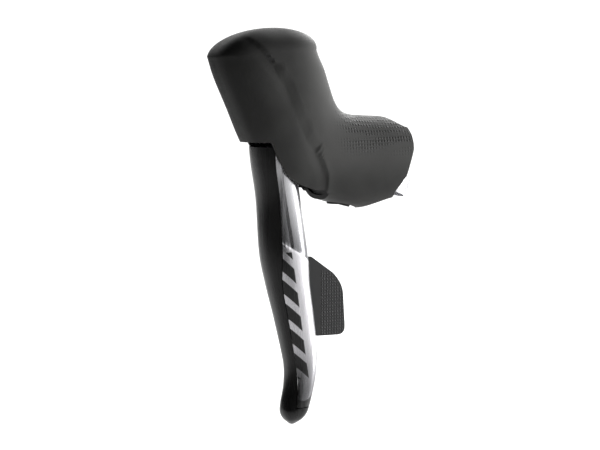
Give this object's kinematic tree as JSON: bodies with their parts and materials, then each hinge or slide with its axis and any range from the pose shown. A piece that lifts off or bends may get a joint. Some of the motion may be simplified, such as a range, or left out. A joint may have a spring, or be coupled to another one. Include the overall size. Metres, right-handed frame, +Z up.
{
  "type": "brake shift lever",
  "caption": "Left-hand hydraulic brake lever for a drop bar, with a tall rubber hood, a black and silver blade and an electronic shift paddle.",
  "frame": {"origin": "on the handlebar's axis, in the middle of the clamp's seat", "axes": "+Z up along the lever, -X forwards, -Y to the outer side of the bicycle"},
  "size_m": [0.1043, 0.0342, 0.184],
  "materials": {
    "hood_rubber": "matte moulded rubber",
    "composite": "fibre-filled composite",
    "gloss_black": "polished black",
    "silver": "polished",
    "steel": "plain",
    "brass": "plain",
    "seal": "moulded",
    "board": "lacquered",
    "lens": "clear"
  },
  "bodies": {
    "bracket": {"hood_cover": "hood_rubber", "lever_body": "composite", "reservoir_cover": "composite", "battery_hatch": "composite", "electronics_cover": "composite", "clamp_band": "silver", "clamp_bolt": "steel", "cover_screw_1": "steel", "cover_screw_2": "steel", "bleed_screw": "steel", "coin_cell": "steel", "hatch_screw_1": "steel", "hatch_screw_2": "steel", "radio_module": "steel", "button_dome": "steel", "compression_nut": "steel", "hose_barb": "steel", "pivot_pin": "steel", "piston_spring": "steel", "pivot_spacer": "steel", "return_spring": "steel", "compression_olive": "brass", "cell_contact": "brass", "reservoir_bladder": "seal", "bleed_seal": "seal", "circuit_board": "board", "status_lens": "lens"},
    "lever": {"lever_arm": "silver", "blade_front_shell": "gloss_black", "blade_side_plate": "silver", "pivot_bush_inner": "brass", "pivot_bush_outer": "brass", "paddle_carrier": "composite", "paddle_pin": "steel", "shift_switch": "gloss_black", "pushrod_pin": "steel"},
    "reach": {"reach_screw": "steel"},
    "pushrod": {"pushrod": "steel"},
    "piston": {"master_piston": "steel", "primary_seal": "seal", "secondary_seal": "seal"},
    "paddle": {"shift_paddle": "gloss_black"},
    "button": {"function_button": "gloss_black"}
  },
  "joints": [
    {"name": "lever_pull", "type": "hinge", "parent": "bracket", "child": "lever", "pos_m": [-0.061, 0, 0.014], "axis": [0, -1, 0], "range_deg": [0, 20], "stiffness_Nm_per_rad": 0.3, "springref_deg": -14.32},
    {"name": "piston_travel", "type": "slide", "parent": "bracket", "child": "piston", "axis": [-0.1736, 0, 0.9848], "range_m": [0, 0.005], "deforming": ["piston_spring"]},
    {"name": "pushrod_swing", "type": "hinge", "parent": "lever", "child": "pushrod", "pos_m": [-0.047, 0, 0.014], "axis": [0, -1, 0], "range_deg": [-21, 0]},
    {"name": "paddle_press", "type": "hinge", "parent": "lever", "child": "paddle", "pos_m": [-0.0534, -0.001, -0.042], "axis": [-0.1414, 0, 0.9899], "range_deg": [0, 10], "stiffness_Nm_per_rad": 0.06, "springref_deg": -11.46},
    {"name": "button_press", "type": "slide", "parent": "bracket", "child": "button", "axis": [0, -1, 0], "range_m": [0, 0.0007], "stiffness_N_per_m": 300, "springref_m": -0.001},
    {"name": "reach_turn", "type": "hinge", "parent": "lever", "child": "reach", "pos_m": [-0.057, 0, -0.004], "axis": [-1, 0, 0], "range_deg": [0, 360]}
  ],
  "couplings": [
    {"joint": "piston_travel", "follows": "lever_pull", "m_per_rad": 0.0139},
    {"joint": "pushrod_swing", "follows": "lever_pull", "ratio": -1}
  ]
}
